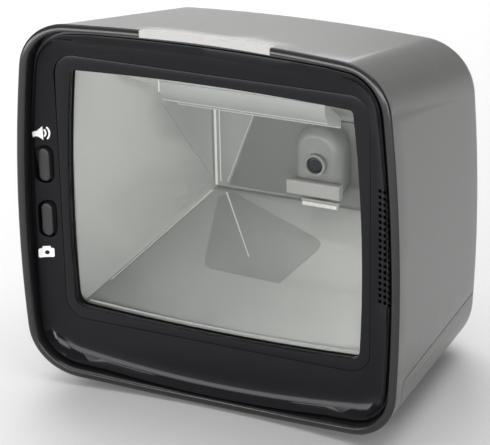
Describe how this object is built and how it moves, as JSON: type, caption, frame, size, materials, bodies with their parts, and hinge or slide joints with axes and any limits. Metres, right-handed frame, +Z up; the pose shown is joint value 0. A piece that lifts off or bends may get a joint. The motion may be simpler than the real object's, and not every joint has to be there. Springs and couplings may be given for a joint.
{
  "type": "presentation barcode scanner",
  "caption": "On-counter presentation barcode scanner: grey tapered housing, gloss black coved bezel, upright window over a mirrored chamber, side buttons and speaker grille.",
  "frame": {"origin": "middle of the plane the feet stand on, centred on the overall box", "axes": "+Z up, -Y out of the scan window, +X to the right as seen from the window"},
  "size_m": [0.148, 0.0972, 0.1403],
  "materials": {
    "housing_paint": "satin metallic grey paint with a fine grain",
    "gloss_black": "high gloss black moulding",
    "button_black": "satin black moulding",
    "frosted_clear": "frosted translucent white",
    "circuit_board": "green solder mask",
    "led_package": "white package with yellow phosphor",
    "window_glass": "clear polished",
    "black_foam": "closed-cell foam",
    "black_resin": "fine moulded texture",
    "switch_metal": "pressed plate",
    "white_print": "screen print",
    "speaker_paper": "pressed paper",
    "nickel_steel": "nickel plate",
    "chamber_plastic": "satin silver-grey moulding",
    "mirror_panel": "satin mirror film",
    "lens_glass": "coated lens",
    "sensor_ceramic": "ceramic",
    "chip_epoxy": "black epoxy",
    "contact_metal": "gold plate",
    "screw_steel": "zinc plate",
    "insert_brass": "knurled brass",
    "foot_rubber": "soft matt rubber",
    "label_film": "blank film"
  },
  "bodies": {
    "scanner": {"rear_housing": "housing_paint", "base_cover": "housing_paint", "front_frame": "gloss_black", "front_fascia": "gloss_black", "light_bar": "frosted_clear", "light_bar_board": "circuit_board", "status_leds": "led_package", "window_frame": "gloss_black", "scan_window": "window_glass", "window_gasket": "black_foam", "tact_switches": "switch_metal", "button_board": "circuit_board", "volume_symbol": "white_print", "capture_symbol": "white_print", "speaker_frame": "black_resin", "speaker_cone": "speaker_paper", "speaker_magnet": "nickel_steel", "speaker_gasket": "black_foam", "optics_chamber": "chamber_plastic", "floor_mirror": "mirror_panel", "ceiling_mirror": "mirror_panel", "left_mirror": "mirror_panel", "right_mirror": "mirror_panel", "back_mirror": "mirror_panel", "light_hood": "chamber_plastic", "camera_body": "chamber_plastic", "camera_lens": "lens_glass", "light_guide": "frosted_clear", "illumination_board": "circuit_board", "illumination_leds": "led_package", "camera_board": "circuit_board", "image_sensor": "sensor_ceramic", "main_board": "circuit_board", "board_chips": "chip_epoxy", "host_port": "black_resin", "host_contacts": "contact_metal", "power_jack": "black_resin", "power_pin": "contact_metal", "usb_port": "nickel_steel", "usb_tongue": "black_resin", "housing_screws": "screw_steel", "board_screws": "screw_steel", "threaded_inserts": "insert_brass", "rubber_feet": "foot_rubber", "label_plate": "label_film"},
    "volume_button": {"volume_button": "button_black", "volume_switch_plunger": "black_resin"},
    "capture_button": {"capture_button": "button_black", "capture_switch_plunger": "black_resin"}
  },
  "joints": [
    {"name": "volume_button_press", "type": "slide", "parent": "scanner", "child": "volume_button", "axis": [0, 1, 0], "range_m": [0, 0.0008], "stiffness_N_per_m": 1500, "springref_m": -0.0004},
    {"name": "capture_button_press", "type": "slide", "parent": "scanner", "child": "capture_button", "axis": [0, 1, 0], "range_m": [0, 0.0008], "stiffness_N_per_m": 1500, "springref_m": -0.0004}
  ]
}
